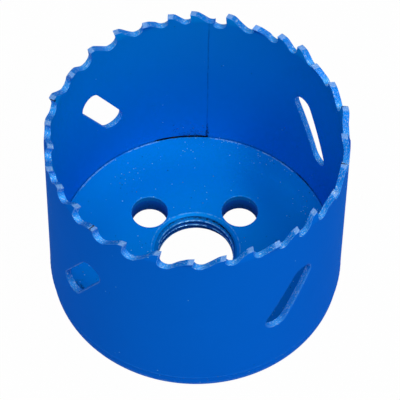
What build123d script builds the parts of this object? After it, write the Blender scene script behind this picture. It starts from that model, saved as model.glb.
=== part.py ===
# Hole saw: rolled and toothed strip wall, thick backing plate, weld round the joint.
# Millimetres and degrees. Teeth point up (+Z), the plate rests on Z = 0, the axis is Z.

import os
from math import acos
from math import atan2
from math import cos
from math import degrees
from math import hypot
from math import radians
from math import sin
from math import tan

from build123d import *

# ---------------------------------------------------------------- driving dimensions

# wall: a strip rolled into a tube and butt welded along one upright line
wall_outer_radius = 28.0
wall_thickness = 1.2
overall_height = 42.7

# backing plate: a flange the wall stands on and a boss that fills the wall
plate_thickness = 4.4
flange_thickness = 2.7
flange_step = 0.3
boss_clearance = 0.05
boss_edge_chamfer = 0.3
flange_edge_chamfer = 0.35

# threaded hole for the arbor, five eighths of an inch with eighteen threads an inch
arbor_minor_radius = 7.25
arbor_countersink_radius = 8.6
arbor_countersink_depth = 0.75

# holes for the drive pins of the arbor
drive_hole_count = 4
drive_hole_radius = 3.5
drive_hole_circle_radius = 12.4
drive_hole_first_angle = 46.75
drive_hole_chamfer = 0.25

# V groove between wall and flange, filled by the weld
weld_groove_depth = 0.5
weld_crown = 0.12

# clearing slots through the wall, slanting up with the angle round the axis
slot_count = 4
slot_first_angle = 133.5
slot_pitch_angle = 87.5
slot_width = 4.5
slot_length = 15.6
slot_slant_from_level = 60.5
slot_centre_height = 22.2

# teeth: the pitch and the gullet depth both change from tooth to tooth, then repeat
tooth_count = 31
first_tip_angle = 92.9
seam_angle = 83.5
tooth_pitches = [4.48, 5.29, 5.67, 6.38, 6.77, 6.33, 5.92, 5.36, 4.99]
gullet_depths = [2.1, 2.35, 2.65, 3.1, 3.3, 3.0, 2.35, 1.9, 1.75]
rake_angle = 8.0
gullet_radius_over_pitch = 0.225
land_length = 1.3
land_angle = 8.0
gullet_skew = 14.0

# set of the teeth: leaning out, straight, leaning in, over and over
set_cycle = ["out", "straight", "in"]
set_out = 0.45
set_in = 0.6
set_edge_drop = 0.16

# how far cutting tools reach past what they cut
tool_reach = 3.0

# ---------------------------------------------------------------- worked out from the above

wall_inner_radius = wall_outer_radius - wall_thickness
flange_radius = wall_outer_radius - flange_step
boss_radius = wall_inner_radius - boss_clearance
weld_apex_radius = wall_outer_radius - weld_groove_depth
degrees_per_arc = degrees(1.0 / wall_outer_radius)
cycle_length = len(tooth_pitches)
bend_height = overall_height - 0.9 * min(gullet_depths)
slot_angles = [slot_first_angle + slot_pitch_angle * place for place in range(slot_count)]
slot_straight = slot_length - slot_width

# one entry a tooth: angle of its tip, pitch to the next tip, depth of the gullet after it
tips = []
angle = first_tip_angle
for number in range(tooth_count):
    place = number % cycle_length
    tips.append([angle, tooth_pitches[place], gullet_depths[place]])
    angle = angle + tooth_pitches[place] * degrees_per_arc

# the strip was cut off inside a gullet at each end: the last gullet stops at the
# seam, and the end of an earlier one, cut less deep, starts there
before_first = (cycle_length - 1) % cycle_length
lead_pitch = tooth_pitches[before_first]
lead_depth = gullet_depths[before_first]
lead_tip_angle = first_tip_angle - lead_pitch * degrees_per_arc


def gullet_shape(pitch, depth):
    """Points of one gullet, from the tip before it to the tip after it, tip level = 0."""
    rake = radians(rake_angle)
    radius = gullet_radius_over_pitch * pitch
    centre_x = (radius + (radius - depth) * sin(rake)) / cos(rake)
    centre_y = radius - depth
    land_x = pitch - land_length
    land_y = -land_length * tan(radians(land_angle))
    reach = hypot(land_x - centre_x, land_y - centre_y)
    turn = atan2(land_y - centre_y, land_x - centre_x) - acos(radius / reach)
    rake_end = (centre_x - radius * cos(rake), centre_y + radius * sin(rake))
    bottom = (centre_x, centre_y - radius)
    flank_start = (centre_x + radius * cos(turn), centre_y + radius * sin(turn))
    return rake_end, bottom, flank_start, (land_x, land_y), centre_x


def gullet_bottom_angle(tip_angle, pitch, depth):
    """Angle round the axis of the lowest point of a gullet."""
    return tip_angle + gullet_shape(pitch, depth)[4] * degrees_per_arc


def cutting_plane(plane_angle, height):
    """Upright plane on the axis, facing out along an angle, x running with the angle."""
    return Plane(
        origin=(0, 0, height),
        x_dir=(-sin(radians(plane_angle)), cos(radians(plane_angle)), 0),
        z_dir=(cos(radians(plane_angle)), sin(radians(plane_angle)), 0),
    )


def section_plane(plane_angle):
    """Upright plane through the axis, x running out along an angle, y running up."""
    return Plane(
        origin=(0, 0, 0),
        x_dir=(cos(radians(plane_angle)), sin(radians(plane_angle)), 0),
        z_dir=(sin(radians(plane_angle)), -cos(radians(plane_angle)), 0),
    )


# the gullets to cut: angle of the tip before, pitch, depth and length kept along the arc
cuts = []
for tip_angle, pitch, depth in tips:
    cuts.append([tip_angle, pitch, depth, 2 * pitch])
cuts[-1][3] = (seam_angle + 360.0 - tips[-1][0]) / degrees_per_arc
cuts.append([lead_tip_angle, lead_pitch, lead_depth, 2 * lead_pitch])

# each tooth has its own sector of the rim, from gullet bottom to gullet bottom
sectors = []
start = gullet_bottom_angle(lead_tip_angle, lead_pitch, lead_depth)
for number in range(tooth_count):
    end = gullet_bottom_angle(*tips[number])
    lean = set_cycle[number % len(set_cycle)]
    sectors.append([start, end, lean])
    start = end

# ---------------------------------------------------------------- backing plate

with BuildPart() as backing_plate:
    with BuildSketch(Plane.XY):
        Circle(flange_radius)
    extrude(amount=flange_thickness)
    chamfer(
        backing_plate.edges().filter_by(GeomType.CIRCLE).group_by(Axis.Z)[0],
        flange_edge_chamfer,
    )
    chamfer(
        backing_plate.edges().filter_by(GeomType.CIRCLE).group_by(Axis.Z)[-1],
        flange_radius - weld_apex_radius,
    )
    with BuildSketch(Plane.XY.offset(flange_thickness)):
        Circle(boss_radius)
    extrude(amount=plate_thickness - flange_thickness)
    chamfer(
        backing_plate.edges().filter_by(GeomType.CIRCLE).group_by(Axis.Z)[-1],
        boss_edge_chamfer,
    )
    # arbor hole at the minor diameter of its thread, countersunk at both faces
    with BuildSketch(Plane.XZ):
        with BuildLine():
            Polyline(
                (0, 0),
                (arbor_countersink_radius, 0),
                (arbor_minor_radius, arbor_countersink_depth),
                (arbor_minor_radius, plate_thickness - arbor_countersink_depth),
                (arbor_countersink_radius, plate_thickness),
                (0, plate_thickness),
                close=True,
            )
        make_face()
    revolve(axis=Axis.Z, revolution_arc=360, mode=Mode.SUBTRACT)
    # drive pin holes
    with BuildSketch(Plane.XY):
        with PolarLocations(drive_hole_circle_radius, drive_hole_count, drive_hole_first_angle):
            Circle(drive_hole_radius)
    extrude(amount=plate_thickness, mode=Mode.SUBTRACT)
    drive_edges = backing_plate.edges().filter_by(GeomType.CIRCLE).filter_by(
        lambda edge: abs(edge.radius - drive_hole_radius) < 0.001
    )
    chamfer(drive_edges, drive_hole_chamfer)
backing_plate.part.label = "backing_plate"

# ---------------------------------------------------------------- gullet tools

gullet_tools = []
for tip_angle, pitch, depth, kept_length in cuts:
    rake_end, bottom, flank_start, land_start, centre_x = gullet_shape(pitch, depth)
    middle = radians(tip_angle + pitch * degrees_per_arc / 2)
    over_x = pitch + land_length / 3
    over_y = (land_length / 3) * tan(radians(land_angle))
    tool_angle = middle - radians(gullet_skew)
    tool_way = (cos(tool_angle), sin(tool_angle), 0)
    # the tool starts inside the wall and meets its outer face in the right place
    foot_x = wall_outer_radius * cos(middle) + pitch / 2 * sin(middle)
    foot_y = wall_outer_radius * sin(middle) - pitch / 2 * cos(middle)
    tool_plane = Plane(
        origin=(foot_x - tool_reach * tool_way[0], foot_y - tool_reach * tool_way[1], overall_height),
        x_dir=(-sin(middle), cos(middle), 0),
        z_dir=(cos(middle), sin(middle), 0),
    )
    with BuildPart() as gullet_tool:
        with BuildSketch(tool_plane):
            with BuildLine():
                Line((0, 0), rake_end)
                ThreePointArc(rake_end, bottom, flank_start)
                Polyline(
                    flank_start,
                    land_start,
                    (over_x, over_y),
                    (over_x, tool_reach),
                    (0, tool_reach),
                    (0, 0),
                )
            make_face()
            # only the gullet at the end of the strip stops short, on the seam
            with Locations((kept_length, 0)):
                Rectangle(
                    2 * pitch,
                    4 * tool_reach,
                    align=(Align.MIN, Align.CENTER),
                    mode=Mode.SUBTRACT,
                )
        extrude(amount=2 * tool_reach, dir=tool_way)
    gullet_tools.append(gullet_tool.part)

# ---------------------------------------------------------------- teeth, each with its own lean

teeth = []
for number in range(tooth_count):
    start, end, lean = sectors[number]
    shift = 0.0
    outer_top = overall_height
    inner_top = overall_height
    if lean == "out":
        shift = set_out
        outer_top = overall_height - set_edge_drop
    if lean == "in":
        shift = -set_in
        inner_top = overall_height - set_edge_drop
    with BuildPart() as tooth:
        with BuildSketch(section_plane(start)):
            with BuildLine():
                Polyline(
                    (wall_inner_radius, bend_height),
                    (wall_outer_radius, bend_height),
                    (wall_outer_radius + shift, outer_top),
                    (wall_inner_radius + shift, inner_top),
                    close=True,
                )
            make_face()
        revolve(axis=Axis.Z, revolution_arc=end - start)
        add(gullet_tools[number - 1], mode=Mode.SUBTRACT)
        add(gullet_tools[number], mode=Mode.SUBTRACT)
    teeth.append(tooth.part)

# ---------------------------------------------------------------- wall with its teeth

with BuildPart() as cup_wall:
    # plain tube up to where the teeth bend, bevelled at its foot for the weld
    with BuildSketch(Plane.XY.offset(flange_thickness)):
        Circle(wall_outer_radius)
        Circle(wall_inner_radius, mode=Mode.SUBTRACT)
    extrude(amount=bend_height - flange_thickness)
    chamfer(
        cup_wall.edges().filter_by(GeomType.CIRCLE).group_by(Axis.Z)[0].sort_by(SortBy.RADIUS)[-1],
        weld_groove_depth,
    )
    # clearing slots
    for slot_angle in slot_angles:
        with BuildSketch(cutting_plane(slot_angle, slot_centre_height)):
            SlotCenterToCenter(slot_straight, slot_width, rotation=slot_slant_from_level)
        extrude(amount=wall_outer_radius + tool_reach, mode=Mode.SUBTRACT)
    # gullets, then the teeth between them
    add(gullet_tools, mode=Mode.SUBTRACT)
    add(teeth)
cup_wall.part.label = "cup_wall"

# ---------------------------------------------------------------- weld round the joint

with BuildPart() as plate_weld:
    weld_foot = flange_thickness - (flange_radius - weld_apex_radius)
    weld_head = flange_thickness + weld_groove_depth
    with BuildSketch(Plane.XZ):
        with BuildLine():
            Polyline(
                (flange_radius, weld_foot),
                (weld_apex_radius, flange_thickness),
                (wall_outer_radius, weld_head),
                (wall_outer_radius + weld_crown, weld_head - weld_groove_depth / 3),
                (wall_outer_radius + weld_crown, weld_head - weld_groove_depth * 2 / 3),
                close=True,
            )
        make_face()
    revolve(axis=Axis.Z, revolution_arc=360)
plate_weld.part.label = "plate_weld"

# ---------------------------------------------------------------- files

os.makedirs("parts", exist_ok=True)
export_step(backing_plate.part, "parts/backing_plate.step")
export_step(cup_wall.part, "parts/cup_wall.step")
export_step(plate_weld.part, "parts/plate_weld.step")
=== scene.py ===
from math import acos, asin, atan2, ceil, cos, degrees, hypot, pi, radians, sin, tan

import bmesh
import bpy
import numpy as np
from mathutils import Matrix, Vector
from mathutils.geometry import delaunay_2d_cdt


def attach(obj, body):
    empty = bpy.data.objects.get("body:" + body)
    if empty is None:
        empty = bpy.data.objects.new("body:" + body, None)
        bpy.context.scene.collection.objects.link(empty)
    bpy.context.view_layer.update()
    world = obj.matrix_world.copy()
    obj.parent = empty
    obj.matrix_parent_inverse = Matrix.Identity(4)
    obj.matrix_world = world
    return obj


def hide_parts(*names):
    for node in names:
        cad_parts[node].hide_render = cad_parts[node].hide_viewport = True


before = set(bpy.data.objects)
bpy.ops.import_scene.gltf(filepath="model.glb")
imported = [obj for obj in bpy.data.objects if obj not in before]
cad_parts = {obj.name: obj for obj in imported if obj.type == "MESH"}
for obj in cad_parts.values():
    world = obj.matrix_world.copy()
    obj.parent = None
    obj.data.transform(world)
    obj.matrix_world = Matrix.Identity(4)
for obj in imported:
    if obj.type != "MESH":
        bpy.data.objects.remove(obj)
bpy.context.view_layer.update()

MM = 0.001

# ------------------------------------------------------------------ sizes, in millimetres

# wall, rolled from a toothed strip
wall_radius = 28.0
wall_thickness = 1.2
overall_height = 42.7
flange_thickness = 2.7
groove_depth = 0.5

# backing plate
plate_thickness = 4.4
flange_radius = 27.7
boss_radius = 26.75
boss_edge = 0.3
flange_edge = 0.35
bore_minor_radius = 7.25
bore_major_radius = 7.94
bore_edge = 0.035
thread_pitch = 25.4 / 18
countersink_radius = 8.6
countersink_depth = 0.75
drive_hole_radius = 3.5
drive_hole_circle = 12.4
drive_hole_angles = [46.75, 136.75, 226.75, 316.75]
drive_hole_edge = 0.22

# weld round the foot of the wall, between the plate's shelf and the top of the groove
weld_crown = 0.12
weld_ripple = 0.012
weld_wander = 0.03
weld_ripples = 150
shelf_height = flange_thickness - (groove_depth - (wall_radius - flange_radius))
groove_top = flange_thickness + groove_depth

# slots in the wall
slot_angles = [133.5, 221.0, 308.5, 396.0]
slot_width = 4.5
slot_length = 15.6
slot_slant = 60.5
slot_height = 22.2

# teeth
tooth_count = 31
first_tip = 92.9
seam_angle = 83.5
pitches = [4.48, 5.29, 5.67, 6.38, 6.77, 6.33, 5.92, 5.36, 4.99]
depths = [2.1, 2.35, 2.65, 3.1, 3.3, 3.0, 2.35, 1.9, 1.75]
rake = radians(8.0)
gullet_radius_share = 0.225
land_length = 1.3
land_slope = tan(radians(8.0))
skew_slope = tan(radians(15.0))
set_cycle = (1.0, 0.0, -1.0)
set_out = 0.45
set_in = 0.6
set_edge_drop = 0.16
bend_height = overall_height - 0.9 * min(depths)

# rounding that the paint leaves on milled edges, and that the punch leaves on slots
edge_rounding = 0.08
slot_roll_in = 0.3

# small chips on the rim, the one at tooth 12 painted shade under its land: tooth, place from its
# tip along and up, reach
rim_chips_and_shade = [(6, 0.15, -0.3, 0.55), (12, -0.55, -0.25, 0.5), (24, 0.1, -0.2, 0.45),
             (22, 0.0, -0.15, 0.4), (21, 0.1, -0.25, 0.5)]

# fineness of the meshes
merge_gap = 0.0008
thin_edge = 0.0004
line_tolerance = 1e-5
quarter_turn = (0, 22.5, 45, 67.5, 90)
arc_step = 9
sharp_corner = 1.2
flank_step = 0.5
shoulder_reach, shoulder_share = 0.55, 0.4
tip_steps = (0.45, 0.22)
shoulder_steps = 5
slot_arc_steps = 16
slot_side_steps = 12
strip_columns = 300
skin_clearance = 0.2
plain_rows, plain_top = 22, 38.0
upper_rows = [38.45, 38.9, 39.35]
tooth_rows = [39.8 + 0.42 * i for i in range(7)]
bore_segments = 240
bore_rows = 121
rim_segments = 256
hole_segments = 72
face_segments = 96
bead_segments = 720

# millimetres of the strip across its UV map, and where the cut faces start in it
uv_span = 400.0
cut_face_start = 0.5

# ------------------------------------------------------------------ node helpers


def is_socket(value):
    return isinstance(value, bpy.types.NodeSocket)


def fill(target, value):
    """Links a socket to an input, or gives the input a plain value."""
    if is_socket(value):
        target.id_data.links.new(value, target)
    else:
        target.default_value = value


def node(tree, kind, values=None, **settings):
    """A node of that kind, its settings made, and its inputs filled or linked."""
    made = tree.nodes.new(kind)
    for name, value in settings.items():
        setattr(made, name, value)
    for key, value in (values or {}).items():
        fill(made.inputs[key], value)
    return made


def first(tree, kind, values=None, **settings):
    """First output of a new node."""
    return node(tree, kind, values, **settings).outputs[0]


def tree_of(*values):
    """The node tree that the sockets among some values belong to."""
    return next(value.id_data for value in values if is_socket(value))


def maths(operation, *values, clamp=False):
    """Output of one Math node, in the tree of the sockets given to it."""
    return first(tree_of(*values), "ShaderNodeMath", dict(enumerate(values)),
                 operation=operation, use_clamp=clamp)


def in_turn(operation, values):
    """One Math operation on any number of values, taken in turn."""
    total = values[0]
    for value in values[1:]:
        total = maths(operation, total, value)
    return total


def times(*values):
    return in_turn("MULTIPLY", values)


def plus(*values):
    return in_turn("ADD", values)


def minus(a, b):
    return maths("SUBTRACT", a, b)


def over(a, b):
    return maths("DIVIDE", a, b)


def most(*values):
    return in_turn("MAXIMUM", values)


def least(a, b):
    return maths("MINIMUM", a, b)


def above(a, b):
    return maths("GREATER_THAN", a, b)


def below(a, b):
    return maths("LESS_THAN", a, b)


def size_of(value):
    return maths("ABSOLUTE", value)


def distance(x, y):
    """Length of the way that x and y make."""
    return maths("SQRT", plus(times(x, x), times(y, y)))


def parts(vector):
    """The three parts of a vector."""
    return node(tree_of(vector), "ShaderNodeSeparateXYZ", {0: vector}).outputs


def on_cylinder(radius, angle, height):
    """Position at a radius, an angle and a height round the axis."""
    return first(tree_of(radius), "ShaderNodeCombineXYZ", {
        0: times(radius, maths("COSINE", angle)), 1: times(radius, maths("SINE", angle)),
        2: height})


def mapped(value, a, b, c=0.0, d=1.0, curve="SMOOTHSTEP"):
    """A value taken from the range a..b to the range c..d, held at its ends."""
    return first(tree_of(value), "ShaderNodeMapRange", {"Value": value, "From Min": a,
                 "From Max": b, "To Min": c, "To Max": d}, interpolation_type=curve)


def noise(vector, scale, detail=2.0, rough=0.5, seed=0.0):
    """Value of one noise texture, with a fixed seed."""
    return first(tree_of(vector), "ShaderNodeTexNoise", {"Vector": vector, "Scale": scale,
                 "Detail": detail, "Roughness": rough, "W": seed}, noise_dimensions="4D")


def add_socket(tree, name, way, kind, default=None):
    """Gives a node group a named input or output."""
    made = tree.interface.new_socket(name=name, in_out=way, socket_type="NodeSocket" + kind)
    if default is not None:
        made.default_value = default


def geometry_tree(name, source, result, sizes):
    """A Geometry Nodes tree with its named inputs, which takes one mesh and gives one."""
    tree = bpy.data.node_groups.new(name, "GeometryNodeTree")
    add_socket(tree, source, "INPUT", "Geometry")
    for label, value in sizes.items():
        add_socket(tree, label, "INPUT", "Int" if isinstance(value, int) else "Float", value)
    add_socket(tree, result, "OUTPUT", "Geometry")
    return tree, node(tree, "NodeGroupInput").outputs


def move(tree, mesh, **where):
    """Moves the points of a mesh to a Position, or by an Offset."""
    return first(tree, "GeometryNodeSetPosition", {"Geometry": mesh, **where})


def merge(tree, mesh):
    """Makes one of points that lie together."""
    return first(tree, "GeometryNodeMergeByDistance",
                 {"Geometry": mesh, "Distance": merge_gap * MM})


def close_tree(tree, mesh, material, result):
    """Ends a Geometry Nodes tree: real geometry with its material."""
    whole = first(tree, "GeometryNodeRealizeInstances", {"Geometry": mesh})
    painted = first(tree, "GeometryNodeSetMaterial", {"Geometry": whole, "Material": material})
    node(tree, "NodeGroupOutput", {result: painted})
    return tree


def run_nodes(build, material, name, base, sizes):
    """Builds a Geometry Nodes tree, runs it on a mesh and returns its result as a plain mesh."""
    tree = build(material, sizes)
    carrier = bpy.data.objects.new(name + "_blank", base)
    bpy.context.scene.collection.objects.link(carrier)
    modifier = carrier.modifiers.new("nodes", "NODES")
    modifier.node_group = tree
    for item in tree.interface.items_tree:
        if item.item_type == "SOCKET" and item.in_out == "INPUT" and item.name in sizes:
            modifier[item.identifier] = sizes[item.name]
    bpy.context.view_layer.update()
    depsgraph = bpy.context.evaluated_depsgraph_get()
    mesh = bpy.data.meshes.new_from_object(carrier.evaluated_get(depsgraph))
    carrier.modifiers.remove(modifier)
    bpy.data.objects.remove(carrier)
    mesh.name = name
    return mesh


# ------------------------------------------------------------------ mesh helpers


def rounding(reach):
    """Steps of a rounded edge: way off the side, way off the face, angle in degrees."""
    return [(reach * (1 - sin(radians(a))), reach * (1 - cos(radians(a))), a) for a in quarter_turn]


def triangles_between(lines, extra):
    """Triangles over closed lines and extra points between them, and the triangles' points."""
    edges, start = [], 0
    for line in lines:
        count = len(line)
        edges += [(start + i, start + (i + 1) % count) for i in range(count)]
        start += count
    points = [Vector(p) for line in [*lines, extra] for p in line]
    flat, _, triangles, _, _, _ = delaunay_2d_cdt(points, edges, [], 1, line_tolerance)
    return flat, triangles


def finish_mesh(mesh, material, sharp=38):
    """Merges doubles, turns the faces outwards and smooths all but the sharp edges."""
    bm = bmesh.new()
    bm.from_mesh(mesh)
    bmesh.ops.remove_doubles(bm, verts=bm.verts, dist=merge_gap * MM)
    bmesh.ops.dissolve_degenerate(bm, edges=bm.edges, dist=thin_edge * MM)
    bmesh.ops.delete(bm, geom=[v for v in bm.verts if not v.link_faces], context="VERTS")
    bmesh.ops.recalc_face_normals(bm, faces=bm.faces)
    if bm.calc_volume(signed=True) < 0:
        bmesh.ops.reverse_faces(bm, faces=bm.faces)
    bm.to_mesh(mesh)
    bm.free()
    mesh.polygons.foreach_set("use_smooth", [True] * len(mesh.polygons))
    mesh.set_sharp_from_angle(angle=radians(sharp))
    mesh.materials.clear()
    mesh.materials.append(material)
    return mesh


def place_piece(name, mesh, slot_name, *nodes):
    """Puts a finished mesh in the scene as the piece that stands for CAD nodes."""
    piece = bpy.data.objects.new(name, mesh)
    bpy.context.scene.collection.objects.link(piece)
    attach(piece, "root")
    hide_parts(*nodes)
    return piece


# ------------------------------------------------------------------ outline of the teeth


def gullet_outline(pitch, depth):
    """Points from a tip to the next, tip level = 0, next tip left out, and the gullet's middle."""
    radius = gullet_radius_share * pitch
    centre_x = (radius + (radius - depth) * sin(rake)) / cos(rake)
    centre_y = radius - depth
    land_x = pitch - land_length
    land_y = -land_length * land_slope
    reach = hypot(land_x - centre_x, land_y - centre_y)
    turn = atan2(land_y - centre_y, land_x - centre_x) - acos(radius / reach)
    rake_end = (centre_x - radius * cos(rake), centre_y + radius * sin(rake))
    flank = (centre_x + radius * cos(turn), centre_y + radius * sin(turn))
    # tip and raked face
    near = tip_steps[-1] / hypot(*rake_end)
    points = [(0.0, 0.0)]
    points += [(rake_end[0] * s, rake_end[1] * s) for s in (near, near + (1 - near) / 2)]
    # round bottom
    begin = pi - rake
    sweep = 2 * pi + turn - begin
    steps = ceil(degrees(sweep) / arc_step)
    for step in range(steps + 1):
        a = begin + sweep * step / steps
        points.append((centre_x + radius * cos(a), centre_y + radius * sin(a)))
    # straight flank
    dx, dy = land_x - flank[0], land_y - flank[1]
    run = hypot(dx, dy)
    soft = min(shoulder_reach, shoulder_share * run)
    before = (land_x - dx / run * soft, land_y - dy / run * soft)
    after = (land_x + soft, land_y + soft * land_slope)
    count = max(2, ceil((run - soft) / flank_step))
    for step in range(1, count + 1):
        s = step / count
        points.append(tuple(flank[i] + (before[i] - flank[i]) * s for i in (0, 1)))
    # soft shoulder and land
    for step in range(1, shoulder_steps + 1):
        s = step / shoulder_steps
        points.append(tuple((1 - s) ** 2 * before[i] + 2 * s * (1 - s) * (land_x, land_y)[i]
                            + s * s * after[i] for i in (0, 1)))
    points += [(pitch - back, -back * land_slope) for back in tip_steps]
    return points, centre_x


def gullet_floor(pitch, depth, off):
    """Level of a gullet's round bottom, a way off its middle."""
    radius = gullet_radius_share * pitch
    return radius - depth - (radius ** 2 - off ** 2) ** 0.5


def rim_outline():
    """Rim of the strip once round as (x along it, z), with middles of gullets and tips."""
    tips = []
    angle = first_tip
    for number in range(tooth_count):
        place = number % len(pitches)
        tips.append(radians(angle) * wall_radius)
        angle += degrees(pitches[place] / wall_radius)
    seam_x = radians(seam_angle) * wall_radius
    lap = 2 * pi * wall_radius
    beside_seam = 0.2
    # from the seam up to the first tip: only what is past the seam, and not back up its flank
    pitch, depth = pitches[-1], depths[-1]
    lead_x = tips[0] - pitch
    shape, bottom_x = gullet_outline(pitch, depth)
    start_x = seam_x - lead_x
    outline = [(seam_x, overall_height + gullet_floor(pitch, depth, start_x - bottom_x))]
    for x, y in shape:
        if x > start_x + beside_seam and y > -depth - 0.01 and (x > bottom_x or y < -0.8 * depth):
            outline.append((lead_x + x, overall_height + y))
    bottoms = [lead_x + bottom_x]
    for number, tip_x in enumerate(tips):
        pitch, depth = pitches[number % len(pitches)], depths[number % len(depths)]
        shape, bottom_x = gullet_outline(pitch, depth)
        last = number == tooth_count - 1
        stop_x = seam_x + lap - tip_x
        for x, y in shape:
            if not last or x < bottom_x or x < stop_x - beside_seam and y < -0.6 * depth:
                outline.append((tip_x + x, overall_height + y))
        bottoms.append(tip_x + bottom_x)
    # the last gullet ends at the seam, where it meets the first with a small step
    low = overall_height + gullet_floor(pitch, depth, stop_x - bottom_x)
    outline.append((tip_x + stop_x, low))
    outline.append((seam_x + lap, low + (outline[0][1] - low) * 0.5))
    return outline, bottoms, tips


def slot_outline():
    """Points of one slot, counter-clockwise, as (across from its middle, height)."""
    half = (slot_length - slot_width) / 2
    radius = slot_width / 2
    points = []
    for end, start in ((half, -90), (-half, 90)):
        for step in range(slot_arc_steps + 1):
            a = radians(start + step * 180 / slot_arc_steps)
            points.append((end + radius * cos(a), radius * sin(a)))
        sign = 1 if end > 0 else -1
        for step in range(1, slot_side_steps):
            points.append((sign * (half - 2 * half * step / slot_side_steps), sign * radius))
    turn = radians(slot_slant)
    return [(x * cos(turn) - y * sin(turn), slot_height + x * sin(turn) + y * cos(turn))
            for x, y in points]


# ------------------------------------------------------------------ flat strip


def into_metal(points, closed):
    """For each point of a line that has metal on its right, the way into the metal."""
    after = []
    for (x0, z0), (x1, z1) in zip(points, points[1:] + points[:1]):
        run = hypot(x1 - x0, z1 - z0)
        after.append(((z1 - z0) / run, (x0 - x1) / run))
    if not closed:
        after[-1] = after[-2]
    before = [after[-1] if closed else after[0]] + after[:-1]
    ways = []
    for (ax, az), (bx, bz) in zip(before, after):
        nx, nz = ax + bx, az + bz
        # in a sharp corner the way is kept from growing long
        scale = 2 / max(nx * nx + nz * nz, sharp_corner)
        ways.append((nx * scale, nz * scale))
    return ways


def inside(x, y, line):
    """Whether a point lies in the closed line."""
    crossed = False
    for (x0, y0), (x1, y1) in zip(line, line[1:] + line[:1]):
        if (y0 > y) != (y1 > y) and x < x0 + (y - y0) / (y1 - y0) * (x1 - x0):
            crossed = not crossed
    return crossed


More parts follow.
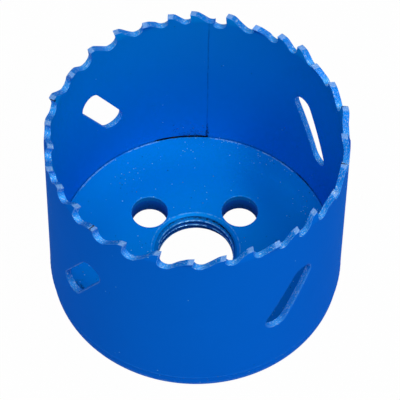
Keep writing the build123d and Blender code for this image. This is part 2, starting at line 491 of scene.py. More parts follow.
def flat_strip():
    """The toothed and slotted strip lying flat: x along it, y into it from outside, z up."""
    outline, bottoms, tips = rim_outline()
    lap = 2 * pi * wall_radius
    # the mesh is cut open at the bottom of a gullet and closed again after rolling
    middle = bottoms[tooth_count // 2]
    cut = min(range(len(outline)), key=lambda i: abs(outline[i][0] - middle))
    loop = outline[cut:] + [(x + lap, z) for x, z in outline[:cut]]
    # both ends of the line get the way of a whole turn, so that the two sides match
    around = into_metal([(loop[-1][0] - lap, loop[-1][1]), loop[0], loop[1]], False)[1]
    loop.append((loop[0][0] + lap, loop[0][1]))
    ways = into_metal(loop, False)
    ways[0] = ways[-1] = around

    tip_line = tips + [tips[0] + lap]
    verts, faces, uvs = [], [], []
    marks = {name: [] for name in ("cut_face", "edge", "land", "gullet", "inward")}

    def add_vert(x, y, z, **values):
        verts.append((x, y, z))
        values["inward"] = y / wall_thickness
        for name, column in marks.items():
            column.append(values.get(name, 0.0))
        return len(verts) - 1

    def add_face(corners, places, start=0.0):
        """A face, with its corners' places on the strip in millimetres."""
        faces.append(corners)
        uvs.extend((u / uv_span, start + v / uv_span) for u, v in places)

    def tooth_marks(x, z):
        """Whether a point of the rim lies on a land, and how deep in a gullet."""
        near, land_fall = 0.001, 0.3
        # the deeper in a gullet, the more painted highlight a point takes, from dark to bright
        dark, bright = 0.6, 0.9
        x = (x - tip_line[0]) % lap + tip_line[0]
        after = min(t for t in tip_line if t > x - near)
        on_land = after - x < land_length - 0.2 and z > overall_height - land_fall
        tooth = max(i for i, t in enumerate(tip_line) if t <= x + near) % tooth_count
        fall = (overall_height - z) / depths[tooth % len(depths)]
        return float(on_land), min(max(fall - dark, 0.0) / (bright - dark), 1.0)

    def band(outer, inner, ways, closed, outer_round, inner_round):
        """Cut face through the strip with rounded edges; returns its two border lines."""
        beside = 0.06
        low_side, slot_edge = 0.85, 0.3
        levels = [(side, face, a / 90) for side, face, a in rounding(outer_round)]
        levels += [(0.0, outer_round + beside, 1.0), (0.0, wall_thickness / 2, 2.0),
                   (0.0, wall_thickness - inner_round - beside, 1.0)]
        levels += [(side, wall_thickness - face, a / 90)
                   for side, face, a in reversed(rounding(inner_round))]
        rows = []
        for offset, depth, turned in levels:
            share = depth / wall_thickness
            row = []
            for (xo, zo), (xi, zi), (nx, nz) in zip(outer, inner, ways):
                x = xo + (xi - xo) * share + nx * offset
                z = zo + (zi - zo) * share + nz * offset
                # the low side of a slot catches the light as a gullet does, and takes the gullets'
                # painted highlight
                if closed:
                    land, gullet, edge = 0.0, low_side * max(-nz, 0.0) ** 2, slot_edge
                else:
                    land, gullet, edge = *tooth_marks(xo, zo), 1.0
                row.append(add_vert(x, depth, z, cut_face=min(turned, 1.0), land=land,
                                    gullet=gullet, edge=edge if 0 < turned < 1 else 0.0))
            rows.append(row)
        along = [0.0]
        for a, b in zip(outer, outer[1:] + outer[:1]):
            along.append(along[-1] + hypot(b[0] - a[0], b[1] - a[1]))
        count = len(outer)
        for level, (low, high) in enumerate(zip(rows, rows[1:])):
            t0, t1 = levels[level][1], levels[level + 1][1]
            for place in range(count if closed else count - 1):
                after = (place + 1) % count
                s0, s1 = along[place], along[place + 1]
                add_face([low[place], low[after], high[after], high[place]],
                         [(s0, t0), (s1, t0), (s1, t1), (s0, t1)], cut_face_start)
        return [[(verts[v][0], verts[v][2]) for v in row] for row in (rows[0], rows[-1])]

    # rim: the inner edge lies further along than the outer one
    shift = skew_slope * wall_thickness
    rim_inner = [(x + shift, z) for x, z in loop]
    rim_borders = band(loop, rim_inner, ways, False, edge_rounding, edge_rounding)
    slot_borders = []
    for angle in slot_angles:
        centre = radians(angle) * wall_radius
        while centre < loop[0][0]:
            centre += lap
        outer, inner = ([(centre + wall_radius * asin(x / radius), z) for x, z in slot_outline()]
                        for radius in (wall_radius, wall_radius - wall_thickness))
        slot_borders.append(band(outer, inner, into_metal(outer, True), True,
                                 slot_roll_in, edge_rounding))

    # outer and inner skin
    feet = (groove_top, flange_thickness)
    foot_rows = []
    for side, rim in enumerate(rim_borders):
        depth, foot = side * wall_thickness, feet[side]
        left, right = rim[0][0], rim[-1][0]
        rows = [foot + (plain_top - foot) * i / plain_rows for i in range(1, plain_rows + 1)]
        rows += upper_rows
        sides_z = [z for z in rows if z < rim[0][1] - 0.3]
        columns_x = [left + (right - left) * i / strip_columns for i in range(strip_columns + 1)]
        border = rim + [(right, z) for z in reversed(sides_z)]
        border += [(x, foot) for x in reversed(columns_x)]
        border += [(left, z) for z in sides_z]
        holes = [borders[side] for borders in slot_borders]
        # grid points, save those close to a line
        known = np.array([p for line in [border, *holes] for p in line])
        grid = np.array([(x, z) for z in rows + tooth_rows for x in columns_x[1:-1]])
        keep = np.array([np.hypot(*(known - p).T).min() > skin_clearance for p in grid])
        flat, triangles = triangles_between([border, *holes], [tuple(p) for p in grid[keep]])
        number = [add_vert(p.x, depth, p.y) for p in flat]
        for triangle in triangles:
            middle = [sum(flat[i][axis] for i in triangle) / 3 for axis in (0, 1)]
            if any(inside(*middle, hole) for hole in holes):
                continue
            corners = [number[i] for i in triangle]
            if side == 1:
                corners.reverse()
            add_face(corners, [(verts[v][0], verts[v][2]) for v in corners])
        foot_rows.append([add_vert(x, depth, foot) for x in columns_x])
    # foot of the strip: bevel for the weld, then the face that stands on the plate
    bevel = [add_vert(verts[v][0], groove_depth, flange_thickness) for v in foot_rows[0]]
    for low, high in ((foot_rows[0], bevel), (bevel, foot_rows[1])):
        for i in range(strip_columns):
            corners = [low[i], high[i], high[i + 1], low[i + 1]]
            add_face(corners, [(verts[v][0], verts[v][1]) for v in corners])

    mesh = bpy.data.meshes.new("strip_blank")
    mesh.from_pydata([(x * MM, y * MM, z * MM) for x, y, z in verts], [], faces)
    layer = mesh.uv_layers.new(name="strip")
    layer.data.foreach_set("uv", [c for uv in uvs for c in uv])
    # lean of the tooth that each point belongs to, and how near a chip of the rim it is, the one at
    # tooth 12 being painted shade
    bottoms.sort()
    leans, chip_and_shade_levels = [], []
    for x, y, z in verts:
        x0 = (x - shift * y / wall_thickness - bottoms[0]) % lap + bottoms[0]
        tooth = sum(1 for b in bottoms if b <= x0) - 1
        leans.append(set_cycle[tooth % 3] if z > bend_height - 1.5 else 0.0)
        gaps = [hypot((x - tips[chipped] - dx + lap / 2) % lap - lap / 2,
                      z - overall_height - dz) / reach for chipped, dx, dz, reach in rim_chips_and_shade]
        chip_and_shade_levels.append(max(0.0, 1 - min(gaps)))
    for name, values in (("lean", leans), ("chip_and_shade", chip_and_shade_levels), *marks.items()):
        mesh.attributes.new(name, "FLOAT", "POINT").data.foreach_set("value", values)
    return mesh


def roll_tree(material, sizes):
    """Geometry Nodes: sets the teeth, rolls the flat strip into a tube and joins its ends."""
    tree, given = geometry_tree("roll_toothed_strip", "Strip", "Wall", sizes)
    x, depth, z = parts(first(tree, "GeometryNodeInputPosition"))
    lean = node(tree, "GeometryNodeInputNamedAttribute", {"Name": "lean"},
                data_type="FLOAT").outputs["Attribute"]
    out, back = most(lean, 0.0), least(lean, 0.0)
    bend, tip = given["Bend Height"], given["Tip Height"]
    bent = over(most(minus(z, bend), 0.0), minus(tip, bend))
    shift = times(plus(times(out, given["Set Out"]), times(back, given["Set In"])), bent)
    radius = plus(minus(given["Outer Radius"], depth), shift)
    # the edge on the side a tooth leans to sinks a little
    share = over(depth, given["Thickness"])
    sink = times(plus(times(out, minus(1.0, share)), times(back, -1.0, share)), given["Edge Drop"])
    rolled = on_cylinder(radius, over(x, given["Outer Radius"]), minus(z, times(sink, bent)))
    moved = move(tree, given["Strip"], Position=rolled)
    return close_tree(tree, merge(tree, moved), material, "Wall")


# ------------------------------------------------------------------ threaded backing plate


def bore_tree(material, sizes):
    """Geometry Nodes: a bore with a helical thread, countersunk at both ends."""
    tree, given = geometry_tree("threaded_bore", "Blank", "Bore", sizes)
    grid = node(tree, "GeometryNodeMeshGrid", {"Size X": 1.0, "Size Y": 1.0,
                "Vertices X": plus(given["Segments"], 1.0), "Vertices Y": given["Rows"]})
    across, up, _ = parts(first(tree, "GeometryNodeInputPosition"))
    turn = plus(across, 0.5)
    height = times(plus(up, 0.5), given["Length"])
    # how far out the thread form stands at this turn and height; its flats are shares of a pitch
    root_flat, crest_flat = 0.085, 0.365
    start = plus(turn, given["Start Turn"])
    phase = maths("FRACT", plus(minus(over(height, given["Pitch"]), start), 5.0))
    form = mapped(size_of(minus(phase, 0.5)), root_flat, crest_flat, 1.0, 0.0, "LINEAR")
    depth = minus(given["Major Radius"], given["Minor Radius"])
    thread = plus(given["Minor Radius"], times(form, depth))
    # cone of the countersink, measured from the nearer face, with a lip at its edge
    lip_slope = 1.3
    face_gap = least(height, minus(given["Length"], height))
    slope = over(minus(given["Countersink Radius"], given["Minor Radius"]),
                 given["Countersink Depth"])
    lip = times(most(minus(given["Edge Rounding"], face_gap), 0.0), lip_slope)
    cone = plus(minus(given["Countersink Radius"], times(face_gap, slope)), lip)
    radius = maths("SMOOTH_MAX", thread, cone, 0.06 * MM)
    # marks are kept on the flat grid, before it is bent into the bore
    cut = above(thread, minus(cone, 0.02 * MM))
    kept = grid.outputs["Mesh"]
    for label, value in (("groove", form), ("threaded", 1.0)):
        kept = first(tree, "GeometryNodeStoreNamedAttribute", {"Geometry": kept, "Name": label,
                     "Value": times(cut, value)}, data_type="FLOAT", domain="POINT")
    shaped = move(tree, kept, Position=on_cylinder(radius, times(turn, 2 * pi), height))
    return close_tree(tree, merge(tree, shaped), material, "Bore")


def circle(radius, count, centre=(0.0, 0.0)):
    """Points of a circle, counter-clockwise, starting at +X."""
    return [(centre[0] + radius * cos(2 * pi * i / count),
             centre[1] + radius * sin(2 * pi * i / count)) for i in range(count)]


def backing_plate_mesh(material):
    """Flange and boss with rounded drive holes, joined to the threaded bore."""
    bore = run_nodes(bore_tree, material, "bore", bpy.data.meshes.new("bore_blank"), {
        "Minor Radius": bore_minor_radius * MM, "Major Radius": bore_major_radius * MM,
        "Pitch": thread_pitch * MM, "Length": plate_thickness * MM,
        "Countersink Radius": countersink_radius * MM, "Countersink Depth": countersink_depth * MM,
        "Edge Rounding": bore_edge * MM, "Start Turn": 0.0,
        "Segments": bore_segments, "Rows": bore_rows})
    bm = bmesh.new()
    bm.from_mesh(bore)
    edge = bm.verts.layers.float.new("edge")
    inside_hole = bm.verts.layers.float.new("hole")
    mouth = max(Vector(v.co[:2]).length for v in bm.verts) / MM

    def ring(radius, height, count, centre=(0.0, 0.0), edge_value=0.0):
        made = []
        for x, y in circle(radius, count, centre):
            made.append(bm.verts.new((x * MM, y * MM, height * MM)))
            made[-1][edge] = edge_value
        return made

    def join(rows):
        for low, high in zip(rows, rows[1:]):
            for i in range(len(low)):
                after = (i + 1) % len(low)
                bm.faces.new((low[i], low[after], high[after], high[i]))

    # outside, from the bottom face up to the top face: radius, height, edge mark
    profile = [(flange_radius - side, face, 1.0 if 0 < a < 90 else 0.3)
               for side, face, a in rounding(flange_edge)]
    profile += [(flange_radius, shelf_height - 0.4, 0.0), (flange_radius, shelf_height, 0.0),
                (wall_radius - groove_depth, flange_thickness, 0.0),
                (boss_radius, flange_thickness, 0.0),
                (boss_radius, plate_thickness - boss_edge, 0.0)]
    profile += [(boss_radius - face, plate_thickness - side, 1.0 if a < 90 else 0.5)
                for side, face, a in rounding(boss_edge)[1:]]
    join([ring(r, z, rim_segments, edge_value=e) for r, z, e in profile])

    # drive holes, rounded at both faces
    mouth_radius = drive_hole_radius + drive_hole_edge
    centres = [(drive_hole_circle * cos(radians(a)), drive_hole_circle * sin(radians(a)))
               for a in drive_hole_angles]
    levels = rounding(drive_hole_edge)
    for centre in centres:
        hole = [ring(drive_hole_radius + side, face, hole_segments, centre)
                for side, face, _ in levels]
        hole += [ring(drive_hole_radius + side, plate_thickness - face, hole_segments, centre,
                      0.8 if 0 < a < 90 else 0.0) for side, face, a in reversed(levels)]
        join(hole)
        for v in hole[len(levels) - 1] + hole[len(levels)]:
            v[inside_hole] = 1.0

    # top and bottom faces, with rings of points that keep the triangles even
    near_rim, near_mouth, clear_of_mouth = 0.25, 0.2, 0.15
    face_radii = [10.0 + 1.5 * i for i in range(11)]

    def from_holes(x, y):
        return min(hypot(x - c[0], y - c[1]) for c in centres)

    for height, outer_radius in ((plate_thickness, boss_radius - boss_edge),
                                 (0.0, flange_radius - flange_edge)):
        lines = [circle(outer_radius, rim_segments), circle(mouth, bore_segments)]
        lines += [circle(mouth_radius, hole_segments, c) for c in centres]
        extra = circle(outer_radius - near_rim, rim_segments)
        for radius in face_radii:
            extra += circle(radius, face_segments)
        extra += circle(mouth + near_mouth, bore_segments)
        for c in centres:
            extra += circle(mouth_radius + near_mouth, hole_segments, c)
        extra = [p for p in extra if from_holes(*p) > mouth_radius + clear_of_mouth]
        flat, triangles = triangles_between(lines, extra)
        made = [bm.verts.new((p.x * MM, p.y * MM, height * MM)) for p in flat]
        for triangle in triangles:
            x, y = (sum(flat[i][axis] for i in triangle) / 3 for axis in (0, 1))
            if hypot(x, y) >= mouth and from_holes(x, y) >= mouth_radius:
                bm.faces.new([made[i] for i in triangle])
    mesh = bpy.data.meshes.new("backing_plate_threaded")
    bm.to_mesh(mesh)
    bm.free()
    return finish_mesh(mesh, material, sharp=40)


# ------------------------------------------------------------------ weld


def weld_tree(material, sizes):
    """Geometry Nodes: a low bead with overlapping ripples that follows a circle."""
    tree, given = geometry_tree("rippled_weld_bead", "Section", "Bead", sizes)
    ring = node(tree, "GeometryNodeCurvePrimitiveCircle", {"Resolution": given["Segments"],
                "Radius": given["Ring Radius"]}, mode="RADIUS")
    section = first(tree, "GeometryNodeMeshToCurve", {"Mesh": given["Section"]})
    swept = first(tree, "GeometryNodeCurveToMesh", {"Curve": ring.outputs["Curve"],
                  "Profile Curve": section, "Fill Caps": False})
    position = first(tree, "GeometryNodeInputPosition")
    x, y, z = parts(position)
    # the sides of each ripple lag behind its middle, which is halfway up the bead
    middle, steepness, lag_share = 0.00295, 4000.0, -0.012
    off = size_of(times(minus(z, middle), steepness))
    lag = times(maths("POWER", off, 2.0), lag_share)
    count = over(given["Ripples"], 2 * pi)
    wave = maths("SINE", times(plus(maths("ARCTAN2", y, x), lag), count, 2 * pi))
    grain = noise(position, 900.0, 3.0, seed=given["Seed"])
    push = plus(times(wave, given["Ripple Height"]), times(minus(grain, 0.5), given["Wander"]))
    # only the crown moves: the parts in the groove stay on plate and wall
    crown = above(distance(x, y), plus(given["Ring Radius"], 0.03 * MM))
    normal = first(tree, "GeometryNodeInputNormal")
    offset = first(tree, "ShaderNodeVectorMath", {0: normal, "Scale": times(push, crown)},
                   operation="SCALE")
    return close_tree(tree, move(tree, swept, Offset=offset), material, "Bead")


def weld_section():
    """Closed section of the bead, with x out from the ring and y down, as the sweep takes it."""
    points = [(flange_radius, shelf_height), (wall_radius - groove_depth, flange_thickness),
              (wall_radius, groove_top)]
    crown = weld_crown - weld_wander
    steps = 8
    for step in range(1, steps):
        s = step / steps
        points.append((wall_radius + (flange_radius - wall_radius) * s * s + crown * sin(pi * s),
                       groove_top + (shelf_height - groove_top) * s))
    mesh = bpy.data.meshes.new("bead_section")
    mesh.from_pydata([((x - wall_radius) * MM, -y * MM, 0.0) for x, y in points],
                     [(i, (i + 1) % len(points)) for i in range(len(points))], [])
    return mesh


# ------------------------------------------------------------------ paint

# scales of the paint's textures, per metre
drift_scale, mottle_scale, patch_scale = 90.0, 900.0, 150.0
peel_scale, fine_peel_scale, speck_scale = 1500.0, 5200.0, 2500.0
wear_scale, dirt_scale, dirt_grain_scale = 1400.0, 2400.0, 2600.0
seam_wander_scale, seam_fade_scale, chip_scale = 260.0, 420.0, 3800.0

# colours
outside_blue = (0.0, 0.144, 0.72, 1)
inside_lit_blue = (0.0, 0.25, 0.80, 1)
plate_blue = (0.0, 0.255, 0.79, 1)
plate_back_sheen_blue = (0.0, 0.35, 0.9, 1)
seam_band_blue = (0.0, 0.27, 0.9, 1)
seam_blue = (0.0, 0.05, 0.28, 1)
hole_shade_blue = (0.0, 0.035, 0.16, 1)
cut_blue = (0.0, 0.22, 0.84, 1)
land_sheen_blue = (0.16, 0.41, 0.98, 1)
gullet_highlight_blue = (0.025, 0.34, 0.98, 1)
sparkle = (0.64, 0.85, 1.0, 1)
worn_highlit_rim_blue = (0.06, 0.3, 0.86, 1)
worn_highlit_plate_blue = (0.2, 0.6, 0.98, 1)
worn_highlit_weld_blue = (0.02, 0.24, 0.8, 1)
light_speck = (0.24, 0.68, 0.95, 1)
dark_speck = (0.008, 0.03, 0.09, 1)
brown_speck = (0.14, 0.13, 0.12, 1)
chip_and_shade_black = (0.006, 0.012, 0.025, 1)
dirt_and_shade_film = (0.006, 0.016, 0.035, 1)
dirt_brown = (0.15, 0.08, 0.035, 1)

# height of the paint's bump, and the least coat on it
paint_bump = 0.02 * MM
weld_bump = 0.03 * MM
least_coat = 0.015

# stretches of the plate's edge, in degrees: dirt and painted shade with their strength, and worn
# paint with a painted highlight
grime_and_shade_sectors = [(86.5, 107.0, 1.0), (33.0, 43.0, 0.3)]
worn_highlit_sectors = [(45.0, 62.0), (71.0, 83.0), (108.0, 121.0), (128.0, 148.0)]
weld_line = 86.0


def shader_group(name, inputs, outputs):
    """An empty shader node group with named inputs and outputs, and its input sockets."""
    tree = bpy.data.node_groups.new(name, "ShaderNodeTree")
    for label, kind, default in inputs:
        add_socket(tree, label, "INPUT", kind, default)
    for label, kind in outputs:
        add_socket(tree, label, "OUTPUT", kind)
    return tree, node(tree, "NodeGroupInput").outputs


def mix(share, a, b):
    """Colour mixed from two."""
    made = node(tree_of(share, a, b), "ShaderNodeMix", data_type="RGBA")
    for name, value in (("Factor_Float", share), ("A_Color", a), ("B_Color", b)):
        fill(next(s for s in made.inputs if s.identifier == name), value)
    return next(s for s in made.outputs if s.identifier == "Result_Color")


def cells(vector, scale):
    """Distance to the middle of the nearest Voronoi cell, and three random numbers of it."""
    spots = node(tree_of(vector), "ShaderNodeTexVoronoi", {"Vector": vector, "Scale": scale},
                 feature="F1")
    return spots.outputs["Distance"], parts(spots.outputs["Color"])


def enamel_group():
    """Sprayed enamel: slow colour drift, dust specks with painted glints on the light ones, and the
    height of its orange peel.
    """
    tree, given = shader_group("sprayed_enamel", [
        ("Vector", "Vector", None), ("Colour", "Color", outside_blue),
        ("Drift", "Float", 0.06), ("Light Specks", "Float", 0.5), ("Dark Specks", "Float", 0.5),
        ("Peel", "Float", 1.0)],
        [("Colour", "Color"), ("Roughness", "Float"), ("Height", "Float")])
    vector = given["Vector"]
    slow = noise(vector, drift_scale, 3.0, 0.55, 1.0)
    mottled = noise(vector, mottle_scale, 3.0, 0.6, 2.0)
    drift = minus(plus(times(slow, 0.7), times(mottled, 0.3)), 0.5)
    value = plus(1.0, times(drift, times(given["Drift"], 2.0)))
    colour = first(tree, "ShaderNodeHueSaturation", {"Color": given["Colour"], "Value": value})
    # specks: a few grains standing in the paint, the light ones painted with a glint where they
    # shine, dark where they are dirt
    gap, pick = cells(vector, speck_scale)
    near = mapped(gap, 0.36, 0.16)
    patch = mapped(noise(vector, patch_scale, 2.0, 0.5, 7.0), 0.45, 0.68, 0.25, 2.2)
    light = times(near, below(pick[0], times(patch, given["Light Specks"], 0.03)))
    dark = times(near, below(pick[1], times(patch, given["Dark Specks"], 0.02)))
    colour = mix(times(light, 0.75), colour, light_speck)
    dirt = mix(mapped(pick[2], 0.6, 0.7), dark_speck, brown_speck)
    colour = mix(times(dark, 0.7), colour, dirt)
    peel = noise(vector, peel_scale, 2.0, 0.45, 3.0)
    fine = noise(vector, fine_peel_scale, 2.0, 0.5, 4.0)
    height = times(plus(peel, times(fine, 0.35)), given["Peel"])
    height = plus(height, times(plus(light, dark), 1.2))
    rough = plus(0.34, times(mottled, 0.12))
    node(tree, "NodeGroupOutput", {"Colour": colour, "Roughness": rough, "Height": height})
    return tree


def edge_group():
    """Wear and painted highlight along edges: paint thinned, polished and painted lighter where an
    edge stands up.
    """
    tree, given = shader_group("worn_and_highlit_edges", [
        ("Vector", "Vector", None), ("Edge", "Float", 0.0), ("Amount", "Float", 1.0),
        ("Colour", "Color", outside_blue), ("Worn Colour", "Color", worn_highlit_rim_blue),
        ("Roughness", "Float", 0.4)],
        [("Colour", "Color"), ("Roughness", "Float"), ("Mask", "Float")])
    broken = mapped(noise(given["Vector"], wear_scale, 4.0, 0.65, 11.0), 0.38, 0.62)
    mask = maths("MULTIPLY", times(given["Edge"], broken), given["Amount"], clamp=True)
    colour = mix(mask, given["Colour"], given["Worn Colour"])
    rough = minus(given["Roughness"], times(mask, 0.1))
    node(tree, "NodeGroupOutput", {"Colour": colour, "Roughness": rough, "Mask": mask})
    return tree


def grime_and_shade_group():
    """Dirt and painted shade lodged in corners: a dark film, partly painted shade, and brown grains
    where the dirt is thick.
    """
    tree, given = shader_group("lodged_grime_and_shade", [
        ("Vector", "Vector", None), ("Colour", "Color", outside_blue), ("Where", "Float", 0.0),
        ("Amount", "Float", 1.0)],
        [("Colour", "Color"), ("Mask", "Float")])
    cloud = noise(given["Vector"], dirt_scale, 6.0, 0.75, 21.0)
    level = times(given["Where"], given["Amount"])
    mask = mapped(plus(cloud, times(level, 0.5)), 0.66, 0.86)
    mask = maths("MULTIPLY", mask, least(times(level, 2.0), 1.0), clamp=True)
    gap, pick = cells(given["Vector"], dirt_grain_scale)
    brown = times(above(pick[0], 0.9), mapped(gap, 0.5, 0.25), mapped(mask, 0.7, 0.95))
    dirt = mix(brown, dirt_and_shade_film, dirt_brown)
    node(tree, "NodeGroupOutput", {"Colour": mix(mask, given["Colour"], dirt), "Mask": mask})
    return tree


enamel = enamel_group()
wear_and_highlight = edge_group()
grime_and_shade = grime_and_shade_group()


def spaced(values):
    """Values by the names of inputs, which are given with _ for a space."""
    return {name.replace("_", " "): value for name, value in values.items()}


def use(kind, spot, **values):
    """Places a shared shader group in a material with its own values."""
    return node(tree_of(spot), "ShaderNodeGroup", {"Vector": spot, **spaced(values)},
                node_tree=kind).outputs


def paint(name):
    """A new material with only its shader and output, and Object coordinates."""
    material = bpy.data.materials.new(name)
    material.use_nodes = True
    tree = material.node_tree
    tree.nodes.clear()
    shader = node(tree, "ShaderNodeBsdfPrincipled", {
        "Metallic": 0.15, "Specular IOR Level": 0.0, "Specular Tint": (0.0, 0.4, 1.0, 1.0),
        "Coat Roughness": 0.22, "Coat IOR": 1.45})
    node(tree, "ShaderNodeOutputMaterial", {"Surface": shader.outputs[0]})
    return material, tree, shader, node(tree, "ShaderNodeTexCoord").outputs["Object"]


def bump(height, reach):
    return first(tree_of(height), "ShaderNodeBump", {"Height": height, "Distance": reach,
                 "Strength": 1.0})


def link(shader, **values):
    """Links inputs of a shader."""
    for name, value in spaced(values).items():
        fill(shader.inputs[name], value)


def mark(tree, name):
    """A mark that the mesh carries on its points."""
    return node(tree, "ShaderNodeAttribute", attribute_name=name).outputs["Fac"]


def stretched(vector, *scale):
    return first(tree_of(vector), "ShaderNodeMapping", {"Vector": vector, "Scale": scale})


def sector(turn, start, stop, soft=2.5):
    """Mask of the sector between two angles, in degrees, fading over its ends."""
    rise = mapped(turn, radians(start - soft), radians(start + soft))
    fall = mapped(turn, radians(stop - soft), radians(stop + soft), 1.0, 0.0)
    return times(rise, fall)


def grime_and_shade_stretches(turn):
    """How much dirt and painted shade the corner of plate and wall takes at an angle."""
    return most(*[times(sector(turn, start, stop), share) for start, stop, share in grime_and_shade_sectors])


def wall_paint():
    """Enamel on the rolled wall, milled and set teeth, the welded seam and lodged grime, with
    painted highlights and painted shade.
    """
    material, tree, shader, spot = paint("wall_enamel")
    x, y, z = parts(spot)
    turn = maths("ARCTAN2", y, x)
    inward = mark(tree, "inward")
    # the inside of the wall is painted a lighter blue: painted light that makes up for the shade
    # inside the cup
    blue = mix(mapped(inward, 0.2, 0.8), outside_blue, inside_lit_blue)
    # welded line from rim to plate, ground flush: a fine dark line beside a paler band
    line = radians(weld_line)
    wander = times(minus(noise(spot, seam_wander_scale, 3.0, 0.6, 31.0), 0.5), 0.45 * MM)
    off = plus(minus(times(x, sin(line)), times(y, cos(line))), wander)
    far_side = above(y, 0.0)
    gap = size_of(off)
    faint = mapped(noise(spot, seam_fade_scale, 2.0, 0.5, 32.0), 0.35, 0.65, 0.35, 1.0)
    seam = times(mapped(gap, 0.22 * MM, 0.05 * MM), far_side, faint)
    band = times(mapped(size_of(plus(off, 0.6 * MM)), 0.6 * MM, 0.2 * MM), far_side)
    blue = mix(times(band, 0.12), blue, seam_band_blue)
    blue = mix(times(seam, 0.4), blue, seam_blue)
    # grains of dirt thrown up beside the foot of the weld line
    grains = times(sector(turn, 84.5, 100.0, 4.0), mapped(z, 12.0 * MM, 5.0 * MM), 34.0)
    coat = use(enamel, spot, Colour=blue, Drift=0.05, Light_Specks=0.06,
               Dark_Specks=plus(0.08, grains), Peel=0.8)
    # milled marks along the cut faces, on the strip laid flat: streaks and nicks painted as glints,
    # lands painted with a sheen and gullet bottoms with a painted highlight
    flat = stretched(first(tree, "ShaderNodeUVMap", uv_map="strip"), uv_span, uv_span, uv_span)
    cut, land, gullet = (mark(tree, name) for name in ("cut_face", "land", "gullet"))
    streaks = noise(stretched(flat, 1.7, 5.5, 1.0), 1.0, 3.0, 0.65, 5.0)
    nicks = noise(flat, 5.0, 3.0, 0.7, 6.0)
    shine = most(mapped(streaks, 0.56, 0.62), times(mapped(nicks, 0.58, 0.63), 0.8))
    milled = mix(land, mix(gullet, cut_blue, gullet_highlight_blue), land_sheen_blue)
    bright = times(shine, most(times(gullet, 0.95), times(land, 0.7), 0.5))
    colour = mix(cut, coat["Colour"], mix(bright, milled, sparkle))
    # rim and slot edges painted lighter: partly wear, partly painted highlight
    edges = use(wear_and_highlight, spot, Edge=mark(tree, "edge"), Amount=0.85, Colour=colour,
                Worn_Colour=worn_highlit_rim_blue, Roughness=coat["Roughness"])
    # dirt at the foot of the weld line; dirt and a painted shade line where wall and plate meet;
    # dark chips of the rim, one of them painted shade under a land
    inner = above(inward, 0.9)
    at_line = times(mapped(gap, 0.8 * MM, 0.0), far_side, 0.5)
    beside = times(sector(turn, 86.0, 100.0, 5.0), mapped(z, 10.0 * MM, 4.6 * MM), 0.33)
    foot = times(mapped(z, 13.5 * MM, 4.8 * MM), inner, most(at_line, beside))
    crevice = times(mapped(z, 4.75 * MM, 4.5 * MM), inner,
                    plus(times(grime_and_shade_stretches(turn), 0.65), 0.25))
    dirty_and_shaded = use(grime_and_shade, spot, Colour=edges["Colour"], Where=most(foot, crevice), Amount=1.3)
    ragged = times(minus(noise(spot, chip_scale, 3.0, 0.6, 33.0), 0.5), 0.5)
    chip_and_shade = mapped(plus(mark(tree, "chip_and_shade"), ragged), 0.42, 0.62)
    shiny = plus(least_coat, plus(times(edges["Mask"], 0.7), times(cut, 0.08)))
    clear_of_dark = minus(1.0, most(chip_and_shade, dirty_and_shaded["Mask"]))
    height = plus(coat["Height"], times(streaks, cut, 1.3))
    height = minus(height, plus(times(seam, 0.6), times(chip_and_shade, 2.0)))
    link(shader, Base_Color=mix(times(chip_and_shade, 0.9), dirty_and_shaded["Colour"], chip_and_shade_black),
         Roughness=edges["Roughness"], Coat_Weight=times(shiny, clear_of_dark),
         Normal=bump(height, paint_bump))
    return material


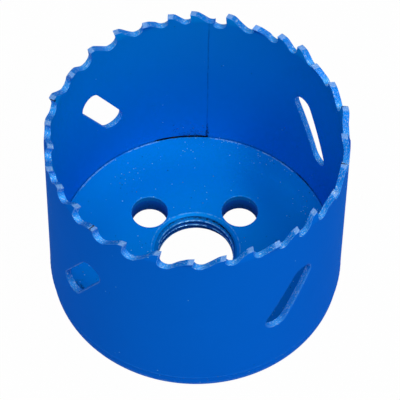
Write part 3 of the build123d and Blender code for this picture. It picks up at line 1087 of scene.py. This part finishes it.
def plate_paint():
    """Enamel on the turned plate, dirt and painted shade in the thread, the holes and round the
    boss, with painted highlights and a painted reflection.
    """
    material, tree, shader, spot = paint("plate_enamel")
    x, y, z = parts(spot)
    reach, turn = distance(x, y), maths("ARCTAN2", y, x)
    top = above(z, 4.0 * MM)
    # towards the back of its top the plate is painted lighter, a painted reflection of the bright
    # back, and carries more light specks
    back = times(mapped(reach, 17.0 * MM, 26.2 * MM), mapped(y, -4.0 * MM, 14.0 * MM), top)
    blue = mix(times(back, 0.7), plate_blue, plate_back_sheen_blue)
    # below the shelf the plate takes the wall's outer blue; above it the lighter plate blue is
    # painted light against the shade in the cup
    blue = mix(below(z, 3.2 * MM), blue, outside_blue)
    coat = use(enamel, spot, Colour=blue, Drift=0.045, Dark_Specks=0.9, Peel=0.9,
               Light_Specks=plus(0.9, times(back, 3.4)))
    groove, threaded, hole, edge = (mark(tree, name)
                                    for name in ("groove", "threaded", "hole", "edge"))
    # holes and bore are painted darker: painted shade, deepest towards the back face
    low = mapped(z, 4.0 * MM, 0.5 * MM, 0.35, 0.85)
    hole_shade = times(most(hole, below(reach, 8.0 * MM)), low)
    colour = mix(hole_shade, coat["Colour"], hole_shade_blue)
    # dirt and painted shade between boss and wall and in the thread's grooves, painted shade low in
    # the holes, and dirt with painted shade in a patch below one slot
    corner = times(mapped(reach, 26.55 * MM, 26.74 * MM), above(z, 2.8 * MM),
                   plus(times(grime_and_shade_stretches(turn), 0.7), 0.35))
    thread = times(mapped(groove, 0.2, 0.85), mapped(z, 4.2 * MM, 3.0 * MM, 0.3, 0.62))
    patch_gap = distance(plus(x, 22.8 * MM), plus(y, 9.8 * MM))
    patch = times(mapped(patch_gap, 4.8 * MM, 1.0 * MM), top, 0.36)
    hole_bottom_shade = times(hole, mapped(z, 3.2 * MM, 1.2 * MM), 0.3)
    dirty_and_shaded = use(grime_and_shade, spot, Colour=colour, Where=most(corner, thread, patch, hole_bottom_shade), Amount=1.25)
    # lighter edges, partly worn paint and partly painted highlight: stretches of the boss edge, the
    # mouth of the bore and the crests of the thread
    worn_highlit = most(*[sector(turn, start, stop) for start, stop in worn_highlit_sectors])
    boss = times(mapped(reach, 26.22 * MM, 26.36 * MM), mapped(reach, 26.7 * MM, 26.56 * MM),
                 top, plus(times(worn_highlit, 1.8), 0.12))
    holes = times(edge, below(reach, 20.0 * MM), 0.18)
    foot = times(edge, below(z, 1.0 * MM), 0.4)
    mouth = times(mapped(size_of(minus(reach, 8.56 * MM)), 0.18 * MM, 0.03 * MM),
                  above(z, 4.2 * MM), 0.35)
    crest = times(mapped(groove, 0.34, 0.02), mapped(groove, 0.0, 0.04), threaded, 1.4)
    edges = use(wear_and_highlight, spot, Edge=most(boss, holes, foot, mouth, crest), Amount=1.0,
                Colour=dirty_and_shaded["Colour"], Worn_Colour=worn_highlit_plate_blue, Roughness=coat["Roughness"])
    shiny = plus(least_coat, times(edges["Mask"], 0.7))
    clear_of_dark = minus(1.0, times(dirty_and_shaded["Mask"], 0.8))
    link(shader, Base_Color=edges["Colour"], Roughness=edges["Roughness"],
         Coat_Weight=times(shiny, clear_of_dark), Normal=bump(coat["Height"], paint_bump))
    return material


def weld_paint():
    """Enamel over the weld bead, lighter in patches as wear and painted highlight."""
    material, _, shader, spot = paint("weld_enamel")
    coat = use(enamel, spot, Colour=outside_blue, Drift=0.06, Light_Specks=0.1,
               Dark_Specks=0.2, Peel=1.2)
    edges = use(wear_and_highlight, spot, Edge=0.35, Amount=0.6, Colour=coat["Colour"],
                Worn_Colour=worn_highlit_weld_blue, Roughness=coat["Roughness"])
    link(shader, Base_Color=edges["Colour"], Roughness=edges["Roughness"],
         Coat_Weight=plus(least_coat, times(edges["Mask"], 0.3)),
         Normal=bump(coat["Height"], weld_bump))
    return material


# ------------------------------------------------------------------ pieces

wall_material = wall_paint()
plate_material = plate_paint()
weld_material = weld_paint()

rolled = run_nodes(roll_tree, wall_material, "cup_wall_rolled", flat_strip(), {
    "Outer Radius": wall_radius * MM, "Thickness": wall_thickness * MM,
    "Bend Height": bend_height * MM, "Tip Height": overall_height * MM,
    "Set Out": set_out * MM, "Set In": set_in * MM, "Edge Drop": set_edge_drop * MM})
place_piece("cup_wall_rolled", finish_mesh(rolled, wall_material), "wall_paint", "cup_wall")

place_piece("backing_plate_threaded", backing_plate_mesh(plate_material),
            "plate_paint", "backing_plate")

bead = run_nodes(weld_tree, weld_material, "plate_weld_bead", weld_section(), {
    "Ring Radius": wall_radius * MM, "Ripple Height": weld_ripple * MM,
    "Wander": weld_wander * MM, "Segments": bead_segments, "Ripples": weld_ripples, "Seed": 4})
place_piece("plate_weld_bead", finish_mesh(bead, weld_material), "weld_paint", "plate_weld")

# ------------------------------------------------------------------ floor, light and camera

# in metres and watts: name, place, side of the lamp, power
lamps = [("key", (0.42, -0.45, 0.87), 0.2, 3.05),
         ("front_soft", (-0.1, -0.56, 0.85), 0.4, 2.5),
         ("side_right", (0.95, -0.35, 0.45), 0.5, 1.3),
         ("side_left", (-0.95, -0.35, 0.5), 0.5, 0.7),
         ("overhead", (0.0, 0.1, 1.1), 0.7, 1.45),
         ("high_right", (0.38, -0.02, 1.0), 0.13, 0.7)]
lamp_aim = (0, 0, 0.02)
floor_reach = 3
floor_drop = 0.02 * MM
floor_grey = 0.65
floor_white = 0.985
room_light = 0.18


def add_object(name, data):
    made = bpy.data.objects.new(name, data)
    bpy.context.scene.collection.objects.link(made)
    return made


def floor():
    """Pale floor that reads as white and still keeps a trace of the shadow."""
    mesh = bpy.data.meshes.new("floor")
    mesh.from_pydata([(x * floor_reach, y * floor_reach, -floor_drop)
                      for x, y in ((-1, -1), (1, -1), (1, 1), (-1, 1))], [], [(0, 1, 2, 3)])
    material = bpy.data.materials.new("pale_floor")
    material.use_nodes = True
    tree = material.node_tree
    tree.nodes.clear()
    plain = node(tree, "ShaderNodeBsdfDiffuse", {"Color": (floor_grey, floor_grey, floor_grey, 1)})
    white = node(tree, "ShaderNodeEmission", {"Color": (1, 1, 1, 1), "Strength": 1.0})
    rays = node(tree, "ShaderNodeLightPath").outputs
    seen = most(rays["Is Camera Ray"], rays["Is Glossy Ray"], rays["Is Transmission Ray"])
    both = node(tree, "ShaderNodeMixShader",
                {0: times(seen, floor_white), 1: plain.outputs[0], 2: white.outputs[0]})
    node(tree, "ShaderNodeOutputMaterial", {"Surface": both.outputs[0]})
    mesh.materials.append(material)
    add_object("floor", mesh)


def soft_light(name, place, size, power):
    """A square area lamp turned to the part."""
    data = bpy.data.lights.new(name, "AREA")
    data.shape = "SQUARE"
    data.size = size
    data.energy = power
    lamp = add_object(name, data)
    lamp.location = place
    lamp.rotation_euler = (Vector(lamp_aim) - Vector(place)).to_track_quat("-Z", "Y").to_euler()


def surroundings():
    """White to the camera, calmer as a source of light."""
    world = bpy.data.worlds.new("studio")
    world.use_nodes = True
    tree = world.node_tree
    tree.nodes.clear()
    seen = node(tree, "ShaderNodeLightPath").outputs["Is Camera Ray"]
    strength = plus(room_light, times(seen, 1 - room_light))
    back = node(tree, "ShaderNodeBackground", {"Color": (1, 1, 1, 1), "Strength": strength})
    node(tree, "ShaderNodeOutputWorld", {"Surface": back.outputs[0]})
    bpy.context.scene.world = world


def camera():
    """Long lens above and in front, turned a little."""
    yaw, pitch, roll = 0.0022, 0.9732, -0.0168
    place = (0.0, -0.3122148, 0.4800086)
    ahead = Vector((sin(yaw) * cos(pitch), cos(yaw) * cos(pitch), -sin(pitch)))
    right = Vector((cos(yaw), -sin(yaw), 0.0))
    down = ahead.cross(right)
    across = cos(roll) * right + sin(roll) * down
    drop = cos(roll) * down - sin(roll) * right
    data = bpy.data.cameras.new("camera")
    data.sensor_width = 36.0
    data.lens = 265.67
    data.clip_start = 0.01
    data.clip_end = 20.0
    eye = add_object("camera", data)
    turned = Matrix((across, -drop, -ahead)).transposed().to_4x4()
    eye.matrix_world = Matrix.Translation(place) @ turned
    bpy.context.scene.camera = eye


floor()
surroundings()
for lamp in lamps:
    soft_light(*lamp)
camera()
bpy.context.scene.view_settings.view_transform = "Standard"
